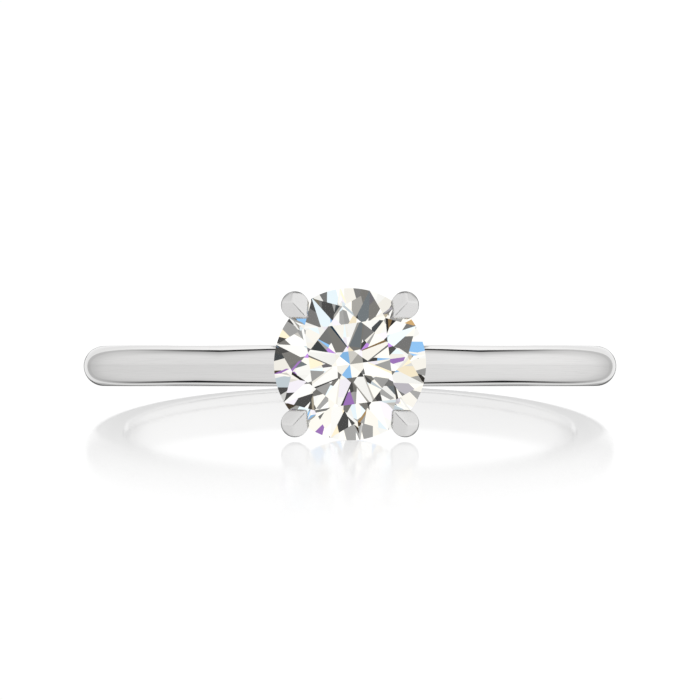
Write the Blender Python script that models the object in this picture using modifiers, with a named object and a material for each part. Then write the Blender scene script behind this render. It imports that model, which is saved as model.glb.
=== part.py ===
"""Engagement ring: a four-claw solitaire with a round brilliant, lying on its side.

Units are metres. The finger hole runs along Z, the head is at the ring's -Y side and the stone's
table faces -Y. The origin is the centre of the ring's bounding box. Two empties carry the pieces:
ring_centre stands on the finger hole's axis, and head_frame turns the head's own frame, in which
z is the distance from that axis and x runs along the shank.
"""

from math import atan2, cos, pi, radians, sin, tan

import bmesh
import bpy
from mathutils import Matrix, Vector

MM = 0.001

# Shank
HOLE_RADIUS = 8.65 * MM
SHANK_THICKNESS = 1.70 * MM
SHANK_RADIUS = HOLE_RADIUS + SHANK_THICKNESS
SHANK_WIDTH = 1.54 * MM
WAIST_WIDTH = 1.46 * MM
HEAD_WIDTH = 1.55 * MM
WAIST_ANGLE = radians(34)
FULL_WIDTH_ANGLE = radians(62)
DOME_HEIGHT = 0.77 * MM
COMFORT_RISE = 0.26 * MM
COMFORT_RUN = 0.40 * MM
SHANK_STEPS = 96
DOME_STEPS = 10
COMFORT_STEPS = 3

# Round brilliant; the angles and fractions are a jeweller's usual ones
STONE_RADIUS = 2.80 * MM
TABLE_FRACTION = 0.57
CROWN_ANGLE = radians(34.5)
PAVILION_ANGLE = radians(40.75)
STAR_FRACTION = 0.50
LOWER_HALF_FRACTION = 0.77
GIRDLE_THICKNESS = 0.17 * MM
STONE_TURN = radians(30)
MAIN_FACETS = 8
GIRDLE_STEPS_PER_FACET = 4
CULET_HEIGHT = SHANK_RADIUS + 0.40 * MM
CROWN_HEIGHT = STONE_RADIUS * (1 - TABLE_FRACTION) * tan(CROWN_ANGLE)
GIRDLE_BOTTOM = CULET_HEIGHT + STONE_RADIUS * tan(PAVILION_ANGLE)
GIRDLE_TOP = GIRDLE_BOTTOM + GIRDLE_THICKNESS
TABLE_HEIGHT = GIRDLE_TOP + CROWN_HEIGHT

# The origin is the middle of the length from the back of the shank to the table
RING_CENTRE_Y = (TABLE_HEIGHT - SHANK_RADIUS) / 2

# Clearance between pieces, and the thickness of a solder seam
GAP = 0.02 * MM
SOLDER = 0.05 * MM

# Head base: a collar on a flat filed in the shank, and a peg through the shank
SEAT_DEPTH = 0.30 * MM
SEAT_HEIGHT = SHANK_RADIUS - SEAT_DEPTH
BASE_RADIUS = 0.98 * MM
BASE_TOP = SEAT_HEIGHT + 0.36 * MM
BASE_EDGE = 0.07 * MM
PEG_RADIUS = 0.45 * MM
PEG_END = HOLE_RADIUS + 0.02 * MM
TURNED_STEPS = 32

# Claws: round wire that rises from the base, bends upright at the girdle and then over the crown
CLAW_ANGLE = radians(47)
CLAW_FOOT_REACH = 0.56 * MM
CLAW_FOOT_RADIUS = 0.24 * MM
CLAW_TOP_REACH = 2.98 * MM
CLAW_TOP_RADIUS = 0.51 * MM
CLAW_LEG_SLOPE = radians(42)
CLAW_LEG_BEND = 1.10 * MM
CLAW_TIP_BEND = 0.95 * MM
CLAW_TIP_SLOPE = radians(128)
CLAW_TIP_RUN = 0.45 * MM
CLAW_FOOT_HEIGHT = BASE_TOP + 2 * GAP + SOLDER
CLAW_BEND_STEPS = 5
CLAW_SIDES = 16

# The filed faces of a claw's tip, placed from its point over the crown
TIP_REACH = 2.28 * MM
TIP_THICKNESS = 0.07 * MM
TIP_SPLIT_REACH = 3.10 * MM
TIP_PLAN_ANGLE = radians(40)
RIDGE_SLOPE = radians(3)
OUTER_FACE_SLOPE = radians(47)
NOSE_SLOPE = radians(35)

# Gallery rails: where a rail's centre lies along a claw's leg, and how far inside the leg's centre
RAIL_WIRE_RADIUS = 0.21 * MM
UPPER_RAIL_REACH = 2.20 * MM
UPPER_RAIL_INSET = 0.27 * MM
LOWER_RAIL_REACH = 1.16 * MM
LOWER_RAIL_INSET = 0.29 * MM
RAIL_STEPS = 48
RAIL_SIDES = 12
COLLAR_OVERHANG = 0.07 * MM
COLLAR_STEPS = 6

MERGE = 0.0001 * MM
CUTTER_OVERRUN = 1.0 * MM

# Edges turning by less than these angles are shaded smooth, or are no edges of a facet at all
ROUND_SHADING = radians(25)
FACET_SHADING = radians(1)
SAME_FACET = radians(0.3)

POLISHED = 0.08
SATIN = 0.25
DIAMOND_IOR = 2.418
WHITE_METAL = (0.80, 0.80, 0.81)
SATIN_METAL = (0.76, 0.76, 0.77)
SOLDER_METAL = (0.72, 0.71, 0.69)
DIAMOND = (0.98, 0.98, 0.97)

CLAWS = {
    "top_right": CLAW_ANGLE,
    "top_left": pi - CLAW_ANGLE,
    "bottom_left": pi + CLAW_ANGLE,
    "bottom_right": -CLAW_ANGLE,
}


def clear_scene():
    for old in list(bpy.data.objects):
        bpy.data.objects.remove(old, do_unlink=True)


def add_collection(name):
    collection = bpy.data.collections.new(name)
    bpy.context.scene.collection.children.link(collection)
    return collection


def add_material(name, colour, roughness, metallic, transmission=0.0, ior=1.5):
    material = bpy.data.materials.new(name)
    material.use_nodes = True
    shader = material.node_tree.nodes["Principled BSDF"]
    shader.inputs["Base Color"].default_value = (*colour, 1.0)
    shader.inputs["Roughness"].default_value = roughness
    shader.inputs["Metallic"].default_value = metallic
    shader.inputs["Transmission Weight"].default_value = transmission
    shader.inputs["IOR"].default_value = ior
    return material


def add_empty(name, parent=None):
    empty = bpy.data.objects.new(name, None)
    empty.empty_display_size = HOLE_RADIUS
    empty.parent = parent
    PARTS.objects.link(empty)
    return empty


def finish_mesh(name, shape, parent, material=None, sharp=ROUND_SHADING):
    """Turns a bmesh into a named object; with no material it becomes a cutter."""
    bmesh.ops.recalc_face_normals(shape, faces=shape.faces)
    mesh = bpy.data.meshes.new(name)
    shape.to_mesh(mesh)
    shape.free()
    mesh.shade_smooth()
    mesh.set_sharp_from_angle(angle=sharp)
    piece = bpy.data.objects.new(name, mesh)
    piece.parent = parent
    if material:
        mesh.materials.append(material)
        PARTS.objects.link(piece)
    else:
        piece.hide_render = True
        piece.display_type = "WIRE"
        CUTTERS.objects.link(piece)
    return piece


def cut(piece, *cutters):
    for cutter in cutters:
        boolean = piece.modifiers.new("cut_" + cutter.name, "BOOLEAN")
        boolean.operation = "DIFFERENCE"
        boolean.solver = "EXACT"
        boolean.object = cutter


def loft(sections, closed):
    """A skin through rings of points; a closed loft joins the last ring to the first."""
    shape = bmesh.new()
    rings = [[shape.verts.new(point) for point in section] for section in sections]
    following = rings[1:] + rings[:1] if closed else rings[1:]
    for ring, after in zip(rings, following):
        for i in range(len(ring)):
            j = (i + 1) % len(ring)
            shape.faces.new((ring[i], ring[j], after[j], after[i]))
    if not closed:
        shape.faces.new(reversed(rings[0]))
        shape.faces.new(rings[-1])
    return shape


def turn(name, profile, parent, material=None):
    """Revolves an outline of (radius, height) points about the head's axis."""
    shape = bmesh.new()
    points = [shape.verts.new((radius, 0, height)) for radius, height in profile]
    for start, end in zip(points, points[1:]):
        shape.edges.new((start, end))
    piece = finish_mesh(name, shape, parent, material)
    screw = piece.modifiers.new("turn", "SCREW")
    screw.steps = TURNED_STEPS
    screw.render_steps = TURNED_STEPS
    screw.use_merge_vertices = True
    screw.merge_threshold = MERGE
    return piece


def smooth_step(low, high, value):
    share = min(max((value - low) / (high - low), 0.0), 1.0)
    return share * share * (3 - 2 * share)


def shank_half_width(angle):
    """Half the band's width at an angle from the head: full at the back, waisted beside the head."""
    angle = abs(angle)
    width = HEAD_WIDTH + (WAIST_WIDTH - HEAD_WIDTH) * smooth_step(0, WAIST_ANGLE, angle)
    width += (SHANK_WIDTH - WAIST_WIDTH) * smooth_step(WAIST_ANGLE, FULL_WIDTH_ANGLE, angle)
    return width / 2


def shank_outline(half_width):
    """The band's section as (radius, z) points: a dome outside, flat flanks, eased inner edges."""
    dome_base = SHANK_RADIUS - DOME_HEIGHT
    outline = []
    for step in range(DOME_STEPS + 1):
        turned = -pi / 2 + pi * step / DOME_STEPS
        outline.append((dome_base + DOME_HEIGHT * cos(turned), half_width * sin(turned)))
    for side in (1, -1):
        corner = []
        for step in range(COMFORT_STEPS + 1):
            turned = pi / 2 * step / COMFORT_STEPS
            radius = HOLE_RADIUS + COMFORT_RISE * (1 - sin(turned))
            corner.append((radius, side * (half_width - COMFORT_RUN * (1 - cos(turned)))))
        outline += corner if side == 1 else corner[::-1]
    return outline


def build_shank(parent):
    sections = []
    for step in range(SHANK_STEPS):
        angle = 2 * pi * step / SHANK_STEPS - pi
        outline = shank_outline(shank_half_width(angle))
        sections.append([(radius * sin(angle), -radius * cos(angle), z) for radius, z in outline])
    metal = add_material("shank_metal", WHITE_METAL, POLISHED, 1.0)
    return finish_mesh("shank", loft(sections, closed=True), parent, metal)


def build_seat_cutter(parent):
    """The flat seat for the collar and the drilled hole for the peg and its solder."""
    bore = PEG_RADIUS + SOLDER + 2 * GAP
    top = SHANK_RADIUS + CUTTER_OVERRUN
    profile = [
        (0, top),
        (BASE_RADIUS + GAP, top),
        (BASE_RADIUS + GAP, SEAT_HEIGHT),
        (bore, SEAT_HEIGHT),
        (bore, HOLE_RADIUS - CUTTER_OVERRUN),
        (0, HOLE_RADIUS - CUTTER_OVERRUN),
    ]
    return turn("seat_cutter", profile, parent)


def build_head_base(parent):
    underside = SEAT_HEIGHT + GAP
    profile = [
        (0, BASE_TOP),
        (BASE_RADIUS - BASE_EDGE, BASE_TOP),
        (BASE_RADIUS, BASE_TOP - BASE_EDGE),
        (BASE_RADIUS, underside + BASE_EDGE),
        (BASE_RADIUS - BASE_EDGE, underside),
        (PEG_RADIUS, underside),
        (PEG_RADIUS, PEG_END + BASE_EDGE),
        (PEG_RADIUS - BASE_EDGE, PEG_END),
        (0, PEG_END),
    ]
    metal = add_material("base_metal", WHITE_METAL, POLISHED, 1.0)
    return turn("head_base", profile, parent, metal)


def build_peg_solder(parent, metal):
    inner = PEG_RADIUS + GAP
    outer = inner + SOLDER
    top = SEAT_HEIGHT
    bottom = PEG_END + BASE_EDGE
    profile = [(inner, bottom), (inner, top), (outer, top), (outer, bottom), (inner, bottom)]
    return turn("solder_peg", profile, parent, metal)


def polar(distance, angle, height):
    return Vector((distance * cos(angle), distance * sin(angle), height))


def girdle_height(radius, angle, level, tip):
    """The height of the girdle's edge, at an angle from the middle of a main facet.

    The half facet there is the plane through its tip and through the girdle at both its ends.
    """
    half_step = pi / MAIN_FACETS
    start = polar(radius, 0, level)
    end = polar(radius, half_step, level)
    tip_distance, tip_height = tip
    normal = (end - start).cross(polar(tip_distance, half_step, tip_height) - start)
    place = polar(radius, angle, level)
    return level - normal.dot(place - start) / normal.z


def brilliant(radius):
    """The convex body of a round brilliant, from the corners its facets share."""
    shape = bmesh.new()
    half_step = pi / MAIN_FACETS
    crown = tan(CROWN_ANGLE)
    pavilion = tan(PAVILION_ANGLE)
    corner = TABLE_FRACTION * radius
    table = GIRDLE_TOP + (radius - corner) * crown
    star = corner * cos(half_step) + STAR_FRACTION * (radius - corner * cos(half_step))
    star_height = GIRDLE_TOP + (radius - star * cos(half_step)) * crown
    lower = (1 - LOWER_HALF_FRACTION) * radius
    lower_height = GIRDLE_BOTTOM - (radius - lower * cos(half_step)) * pavilion

    edges = ((GIRDLE_TOP, (star, star_height)), (GIRDLE_BOTTOM, (lower, lower_height)))
    for k in range(MAIN_FACETS):
        main_angle = STONE_TURN + 2 * half_step * k
        shape.verts.new(polar(corner, main_angle, table))
        shape.verts.new(polar(star, main_angle + half_step, star_height))
        shape.verts.new(polar(lower, main_angle + half_step, lower_height))
        for step in range(1 - GIRDLE_STEPS_PER_FACET, GIRDLE_STEPS_PER_FACET + 1):
            angle = half_step * step / GIRDLE_STEPS_PER_FACET
            for level, tip in edges:
                height = girdle_height(radius, abs(angle), level, tip)
                shape.verts.new(polar(radius, main_angle + angle, height))
    shape.verts.new(polar(0, 0, GIRDLE_BOTTOM - radius * pavilion))
    bmesh.ops.convex_hull(shape, input=shape.verts)
    bmesh.ops.dissolve_limit(
        shape, angle_limit=SAME_FACET, verts=shape.verts, edges=shape.edges, delimit={"NORMAL"}
    )
    return shape


def build_stone(parent):
    diamond = add_material("diamond", DIAMOND, 0.0, 0.0, transmission=1.0, ior=DIAMOND_IOR)
    return finish_mesh("centre_stone", brilliant(STONE_RADIUS), parent, diamond, sharp=FACET_SHADING)


def leg_height(reach):
    """The height of the straight part of a claw's centre line at a given reach."""
    return CLAW_FOOT_HEIGHT + (reach - CLAW_FOOT_REACH) * tan(CLAW_LEG_SLOPE)


def claw_path():
    """Points of a claw's centre line as (reach, height, slope, radius), from below its foot."""
    leg_end = CLAW_TOP_REACH - CLAW_LEG_BEND * (1 - sin(CLAW_LEG_SLOPE))
    foot = CLAW_FOOT_REACH - 2 * CLAW_FOOT_RADIUS
    places = [(foot, leg_height(foot), CLAW_LEG_SLOPE)]
    for step in range(CLAW_BEND_STEPS + 1):
        slope = CLAW_LEG_SLOPE + (pi / 2 - CLAW_LEG_SLOPE) * step / CLAW_BEND_STEPS
        reach = leg_end + CLAW_LEG_BEND * (sin(slope) - sin(CLAW_LEG_SLOPE))
        height = leg_height(leg_end) + CLAW_LEG_BEND * (cos(CLAW_LEG_SLOPE) - cos(slope))
        places.append((reach, height, slope))
    upright = places[-1][1]
    for step in range(1, CLAW_BEND_STEPS + 1):
        slope = pi / 2 + (CLAW_TIP_SLOPE - pi / 2) * step / CLAW_BEND_STEPS
        reach = CLAW_TOP_REACH - CLAW_TIP_BEND * (1 - sin(slope))
        places.append((reach, upright - CLAW_TIP_BEND * cos(slope), slope))
    reach, height, slope = places[-1]
    places.append((reach + CLAW_TIP_RUN * cos(slope), height + CLAW_TIP_RUN * sin(slope), slope))
    path = []
    for reach, height, slope in places:
        share = smooth_step(CLAW_FOOT_HEIGHT, upright, height)
        linear = min(max((height - CLAW_FOOT_HEIGHT) / (upright - CLAW_FOOT_HEIGHT), 0.0), 1.0)
        radius = CLAW_FOOT_RADIUS + (CLAW_TOP_RADIUS - CLAW_FOOT_RADIUS) * (share + linear) / 2
        path.append((reach, height, slope, radius))
    return path


def claw_blank():
    """The bent, tapered wire, in the plane of its centre line: x is reach and z is height."""
    sections = []
    for reach, height, slope, radius in claw_path():
        across = Vector((sin(slope), 0, -cos(slope)))
        centre = Vector((reach, 0, height))
        ring = []
        for side in range(CLAW_SIDES):
            turned = 2 * pi * side / CLAW_SIDES
            ring.append(centre + radius * (cos(turned) * across + sin(turned) * Vector((0, 1, 0))))
        sections.append(ring)
    return loft(sections, closed=False)


def file_flat(shape, point, normal):
    """Takes away what lies on the normal's side of a plane and closes the cut."""
    everything = list(shape.verts) + list(shape.edges) + list(shape.faces)
    result = bmesh.ops.bisect_plane(
        shape, geom=everything, dist=MERGE, plane_co=point, plane_no=normal, clear_outer=True
    )
    edges = [item for item in result["geom_cut"] if isinstance(item, bmesh.types.BMEdge)]
    bmesh.ops.contextual_create(shape, geom=edges)


def file_tip(shape):
    """Files two side faces that meet in a ridge, an outer face and a blunt nose."""
    crown_at_tip = GIRDLE_TOP + (STONE_RADIUS - TIP_REACH) * tan(CROWN_ANGLE)
    nose = Vector((TIP_REACH, 0, crown_at_tip + TIP_THICKNESS))
    ridge = Vector((cos(RIDGE_SLOPE), 0, sin(RIDGE_SLOPE)))
    for side in (1, -1):
        along = Vector((cos(TIP_PLAN_ANGLE), side * sin(TIP_PLAN_ANGLE), 0))
        along.z = -cos(TIP_PLAN_ANGLE) * tan(CROWN_ANGLE)
        file_flat(shape, nose, side * ridge.cross(along))
    split = nose + ridge * (TIP_SPLIT_REACH - TIP_REACH) / ridge.x
    file_flat(shape, split, Vector((sin(OUTER_FACE_SLOPE), 0, cos(OUTER_FACE_SLOPE))))
    file_flat(shape, nose, Vector((-cos(NOSE_SLOPE), 0, sin(NOSE_SLOPE))))


def build_claw(name, angle, parent, metal, cutters):
    shape = claw_blank()
    file_tip(shape)
    file_flat(shape, Vector((0, 0, CLAW_FOOT_HEIGHT)), Vector((0, 0, -1)))
    bmesh.ops.dissolve_degenerate(shape, dist=MERGE, edges=shape.edges)
    bmesh.ops.rotate(shape, verts=shape.verts, matrix=Matrix.Rotation(angle, 3, "Z"))
    claw = finish_mesh("claw_" + name, shape, parent, metal)
    cut(claw, *cutters)
    return claw


def rail_centre(reach, inset):
    """(radius, height) of a rail's centre: inside the claws' centre line, square to their legs."""
    return reach - inset * sin(CLAW_LEG_SLOPE), leg_height(reach) + inset * cos(CLAW_LEG_SLOPE)


def rail_ring(name, centre, wire_radius, parent, metal=None):
    radius, height = centre
    bpy.ops.mesh.primitive_torus_add(
        major_radius=radius,
        minor_radius=wire_radius,
        major_segments=RAIL_STEPS,
        minor_segments=RAIL_SIDES,
    )
    made = bpy.context.object
    shape = bmesh.new()
    shape.from_mesh(made.data)
    bpy.data.objects.remove(made)
    bmesh.ops.translate(shape, verts=shape.verts, vec=(0, 0, height))
    return finish_mesh(name, shape, parent, metal)


def claw_radius_at(reach):
    """The wire's radius where its centre line is at a given reach."""
    path = claw_path()
    for start, end in zip(path, path[1:]):
        if start[0] <= reach <= end[0]:
            return start[3] + (end[3] - start[3]) * (reach - start[0]) / (end[0] - start[0])
    return CLAW_TOP_RADIUS


def build_rail_solder(name, angle, reach, centre, parent, metal, stone_cutter):
    """A short sleeve round the rail, in the claw's notch and a little past it on both sides.

    It stays open along the stone, where there is no room for solder.
    """
    radius, height = centre
    half_length = claw_radius_at(reach) + COLLAR_OVERHANG
    half_angle = atan2(half_length, radius)
    wire = RAIL_WIRE_RADIUS + GAP
    sections = []
    for step in range(COLLAR_STEPS + 1):
        turned = angle + half_angle * (2 * step / COLLAR_STEPS - 1)
        ring = []
        for side in range(RAIL_SIDES):
            around = 2 * pi * side / RAIL_SIDES
            distance = radius + wire * cos(around)
            ring.append((distance * cos(turned), distance * sin(turned), height + wire * sin(around)))
        sections.append(ring)
    shape = loft(sections, closed=False)
    ends = [face for face in shape.faces if len(face.verts) == RAIL_SIDES]
    bmesh.ops.delete(shape, geom=ends, context="FACES_ONLY")
    sleeve = finish_mesh(name, shape, parent, metal)
    solidify = sleeve.modifiers.new("thickness", "SOLIDIFY")
    solidify.thickness = SOLDER
    solidify.offset = 1.0
    cut(sleeve, stone_cutter)
    return sleeve


def build_foot_solder(name, angle, parent, metal):
    """An oval pad of solder between the base and a claw's slanting foot."""
    bpy.ops.mesh.primitive_cylinder_add(vertices=CLAW_SIDES, radius=1.0, depth=SOLDER)
    made = bpy.context.object
    shape = bmesh.new()
    shape.from_mesh(made.data)
    bpy.data.objects.remove(made)
    length = CLAW_FOOT_RADIUS / sin(CLAW_LEG_SLOPE) + GAP
    width = CLAW_FOOT_RADIUS + GAP
    bmesh.ops.scale(shape, verts=shape.verts, vec=(length, width, 1))
    height = BASE_TOP + GAP + SOLDER / 2
    bmesh.ops.translate(shape, verts=shape.verts, vec=(CLAW_FOOT_REACH, 0, height))
    bmesh.ops.rotate(shape, verts=shape.verts, matrix=Matrix.Rotation(angle, 3, "Z"))
    return finish_mesh(name, shape, parent, metal)


def build_head(parent):
    upper = rail_centre(UPPER_RAIL_REACH, UPPER_RAIL_INSET)
    lower = rail_centre(LOWER_RAIL_REACH, LOWER_RAIL_INSET)
    notch_radius = RAIL_WIRE_RADIUS + SOLDER + 2 * GAP
    stone_cutter = finish_mesh("stone_cutter", brilliant(STONE_RADIUS + 2 * GAP), parent)
    cutters = [
        stone_cutter,
        rail_ring("upper_notch_cutter", upper, notch_radius, parent),
        rail_ring("lower_notch_cutter", lower, notch_radius, parent),
    ]
    rail_metal = add_material("rail_metal", WHITE_METAL, POLISHED, 1.0)
    claw_metal = add_material("claw_metal", SATIN_METAL, SATIN, 1.0)
    solder = add_material("solder", SOLDER_METAL, SATIN, 1.0)

    build_stone(parent)
    build_head_base(parent)
    build_peg_solder(parent, solder)
    rail_ring("upper_gallery_rail", upper, RAIL_WIRE_RADIUS, parent, rail_metal)
    rail_ring("lower_gallery_rail", lower, RAIL_WIRE_RADIUS, parent, rail_metal)
    for name, angle in CLAWS.items():
        build_claw(name, angle, parent, claw_metal, cutters)
        build_foot_solder("solder_foot_" + name, angle, parent, solder)
        for level, reach, centre in (
            ("upper", UPPER_RAIL_REACH, upper),
            ("lower", LOWER_RAIL_REACH, lower),
        ):
            seam = "solder_" + level + "_" + name
            build_rail_solder(seam, angle, reach, centre, parent, solder, stone_cutter)


clear_scene()
PARTS = add_collection("engagement_ring")
CUTTERS = add_collection("cutters")
CUTTERS.hide_render = True

ring_centre = add_empty("ring_centre")
ring_centre.location = (0, RING_CENTRE_Y, 0)
head_frame = add_empty("head_frame", ring_centre)
head_frame.rotation_euler = (pi / 2, 0, 0)

shank = build_shank(ring_centre)
cut(shank, build_seat_cutter(head_frame))
build_head(head_frame)
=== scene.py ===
from math import atan2, cos, pi, radians, sin, tan

import bmesh
import bpy
from mathutils import Matrix, Vector


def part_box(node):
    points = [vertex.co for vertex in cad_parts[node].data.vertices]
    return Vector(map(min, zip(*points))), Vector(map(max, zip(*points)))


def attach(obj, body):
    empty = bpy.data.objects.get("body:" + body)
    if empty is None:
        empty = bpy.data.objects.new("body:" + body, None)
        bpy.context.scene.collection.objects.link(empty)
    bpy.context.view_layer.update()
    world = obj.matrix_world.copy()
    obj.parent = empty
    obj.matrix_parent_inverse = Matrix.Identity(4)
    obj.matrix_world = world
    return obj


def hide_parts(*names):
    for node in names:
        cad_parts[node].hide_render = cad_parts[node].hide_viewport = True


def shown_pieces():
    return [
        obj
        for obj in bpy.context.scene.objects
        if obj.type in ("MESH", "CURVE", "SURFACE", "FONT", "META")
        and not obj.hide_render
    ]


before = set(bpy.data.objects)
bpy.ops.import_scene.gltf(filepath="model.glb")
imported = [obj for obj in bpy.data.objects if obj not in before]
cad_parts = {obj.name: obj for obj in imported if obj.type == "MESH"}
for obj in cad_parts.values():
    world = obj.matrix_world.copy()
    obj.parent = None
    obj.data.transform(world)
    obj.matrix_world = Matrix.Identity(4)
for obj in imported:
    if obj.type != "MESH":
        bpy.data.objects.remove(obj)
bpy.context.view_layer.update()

# The engagement ring's looks. Metres throughout, in the CAD's frame: the finger hole runs along Z
# and the stone's table faces -Y. The head is modelled in its own frame, where z is the distance
# from the finger hole's axis, and HEAD turns that frame to face -Y.

MM = 0.001

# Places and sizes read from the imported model
SHANK_LOW, SHANK_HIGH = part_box("shank")
SHANK_RADIUS = (SHANK_HIGH.x - SHANK_LOW.x) / 2
RING_CENTRE_Y = SHANK_HIGH.y - SHANK_RADIUS
STONE_LOW, STONE_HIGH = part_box("centre_stone")
TABLE_HEIGHT = RING_CENTRE_Y - STONE_LOW.y
CULET_HEIGHT = RING_CENTRE_Y - STONE_HIGH.y
BASE_LOW, BASE_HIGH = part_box("head_base")
BASE_RADIUS = BASE_HIGH.x
BASE_TOP = RING_CENTRE_Y - BASE_LOW.y
PEG_END = RING_CENTRE_Y - BASE_HIGH.y
HEAD = Matrix.Translation((0, RING_CENTRE_Y, 0)) @ Matrix.Rotation(pi / 2, 4, "X")

# Shank, as the CAD has it
HOLE_RADIUS = SHANK_RADIUS - 1.70 * MM
SHANK_WIDTH = 1.54 * MM
WAIST_WIDTH = 1.46 * MM
HEAD_WIDTH = 1.55 * MM
WAIST_ANGLE = radians(34)
FULL_WIDTH_ANGLE = radians(62)
DOME_HEIGHT = 0.77 * MM
COMFORT_RISE = 0.26 * MM
COMFORT_RUN = 0.40 * MM
SHANK_STEPS = 432
DOME_STEPS = 36
COMFORT_STEPS = 8

# Round brilliant
STONE_RADIUS = STONE_HIGH.z
TABLE_FRACTION = 0.57
CROWN_ANGLE = radians(34.5)
PAVILION_ANGLE = radians(40.75)
STAR_FRACTION = 0.50
LOWER_HALF_FRACTION = 0.77
STONE_TURN = radians(30)
MAIN_FACETS = 8
GIRDLE_STEPS_PER_FACET = 10
GIRDLE_BOTTOM = CULET_HEIGHT + STONE_RADIUS * tan(PAVILION_ANGLE)
GIRDLE_TOP = TABLE_HEIGHT - STONE_RADIUS * (1 - TABLE_FRACTION) * tan(CROWN_ANGLE)

# Clearances and seams. A claw's foot stands in a mound of solder, given as (share of its full
# width, share of its height) from the bottom up.
GAP = 0.02 * MM
SOLDER = 0.05 * MM
FOOT_MOUND = ((0.90, 0.0), (1.0, 0.15), (1.0, 0.55), (0.95, 0.85), (0.85, 1.0))

# Head base
SEAT_HEIGHT = SHANK_RADIUS - 0.30 * MM
BASE_EDGE = 0.07 * MM
PEG_RADIUS = 0.45 * MM
TURNED_STEPS = 96
EDGE_STEPS = 5

# Claws
CLAW_ANGLE = radians(47)
CLAW_FOOT_REACH = 0.56 * MM
CLAW_FOOT_RADIUS = 0.24 * MM
CLAW_TOP_REACH = 2.98 * MM
CLAW_TOP_RADIUS = 0.51 * MM
CLAW_LEG_SLOPE = radians(42)
CLAW_LEG_BEND = 1.10 * MM
CLAW_TIP_BEND = 0.95 * MM
CLAW_TIP_SLOPE = radians(128)
CLAW_TIP_RUN = 0.45 * MM
CLAW_FOOT_HEIGHT = BASE_TOP + 2 * GAP + SOLDER
CLAW_BEND_STEPS = 14
CLAW_SIDES = 48
TIP_REACH = 2.28 * MM
TIP_THICKNESS = 0.07 * MM
TIP_SPLIT_REACH = 3.10 * MM
TIP_PLAN_ANGLE = radians(40)
RIDGE_SLOPE = radians(3)
OUTER_FACE_SLOPE = radians(47)
NOSE_SLOPE = radians(35)
RIDGE_ROUNDING = 0.12 * MM
RIDGE_STEPS = 10
BROW_ROUNDING = 0.45 * MM

# Gallery rails
UPPER_RAIL_REACH = 2.20 * MM
LOWER_RAIL_REACH = 1.16 * MM
RAIL_STEPS = 192
RAIL_SIDES = 32
COLLAR_OVERHANG = 0.07 * MM
COLLAR_FULLNESS = 8
COLLAR_STEPS = 16

CLAWS = {
    "top_right": CLAW_ANGLE,
    "top_left": pi - CLAW_ANGLE,
    "bottom_left": pi + CLAW_ANGLE,
    "bottom_right": -CLAW_ANGLE,
}

MERGE = 0.0001 * MM
CUTTER_OVERRUN = 1.0 * MM
ROUND_SHADING = radians(28)
FACET_SHADING = radians(1)
SAME_FACET = radians(0.3)

# Finishes. The grain is drawn out by stretch along the three axes, worn_edge is the radius that
# wear gives an edge, and edge_tint is how much of the light a glancing reflection keeps.
WHITE_METAL = (0.80, 0.795, 0.79)
BAND_POLISH = {
    "colour": WHITE_METAL,
    "roughness": 0.035,
    "grain": 0.02 * MM,
    "stretch": (60, 1, 1),
    "scratch_depth": 0.002 * MM,
    "worn_edge": 0.03 * MM,
    "edge_tint": 0.8,
}
WIRE_POLISH = {**BAND_POLISH, "roughness": 0.06, "stretch": (1, 1, 1)}
CLAW_SATIN = {
    **WIRE_POLISH,
    "roughness": 0.07,
    "scratch_depth": 0.004 * MM,
    "worn_edge": 0.13 * MM,
    "edge_tint": 0.3,
}
SOLDER_FLOW = {
    **WIRE_POLISH,
    "colour": (0.74, 0.73, 0.71),
    "roughness": 0.12,
    "grain": 0.05 * MM,
    "scratch_depth": 0.006 * MM,
}

# Wear of the metal: the spans of the noise over which hairlines and worn patches come up, how much
# rougher and darker they are, and the size of the patches in grains
HAIRLINES = (0.45, 0.75)
HAIRLINE_ROUGHNESS = 0.6
HAIRLINE_TINT = 0.94
HAIRLINE_DEPTH = 0.25
WORN_PATCHES = (0.40, 0.70)
WORN_ROUGHNESS = 0.5
PATCH_GRAINS = 40

DIAMOND_IOR = 2.42
DIAMOND_COLOUR = (1.0, 1.0, 0.997, 1.0)

# Camera: how far it stands from the finger hole's axis, how much of the subject it takes in there,
# where the band's mid-plane sits in the picture, as a share of its height below the middle, how
# far it sees, and the share of the stone's glare that its polarising filter takes away
CAMERA_DISTANCE = 243.3 * MM
FRAME_WIDTH = 27.24 * MM
CAMERA_DROP = 1.3 * MM
MID_PLANE_DROP = 0.0231
CAMERA_REACH = 10.0
POLARISED = 0.9

# Floor: its mirror image fades out towards the camera, past the band's ends, and as the view
# steepens, which is given by Blender's facing value
FLOOR_REACH = 3.0
FLOOR_MIRROR = 0.50
FLOOR_BLUR_BACK = 0.05
FLOOR_BLUR_FRONT = 0.14
FLOOR_GLOW = 1.02
FADE_FRONT = -50 * MM
FADE_BACK = 12 * MM
FADE_OUTSIDE = 10.6 * MM
FADE_INSIDE = 8.8 * MM
END_MIRROR = 0.3
STEEP_VIEW = 0.30
FLAT_VIEW = 0.85

# Studio. Its places are parts of a unit direction: X across, Y to the back, Z up. A pair of places
# is where a change begins and ends. LOW values hold below the horizon, and in full from the end of
# LOW_SPAN. First the window behind the ring: its half width, its front edge, and how much slower
# its rim fades towards the front than sideways.
LOW_SPAN = (0.0, -0.45)
WINDOW_SIDE, LOW_WINDOW_SIDE = 0.36, 0.20
WINDOW_FRONT, LOW_WINDOW_FRONT = 0.38, 0.80
FRONT_SHARE = 0.56
WINDOW_EDGE = (0.01, -0.01)
WINDOW_BACK = (0.80, 0.99)
WINDOW_LIGHT = (1.18, 1.10)
LOW_WINDOW_SHARE = 0.85

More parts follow.
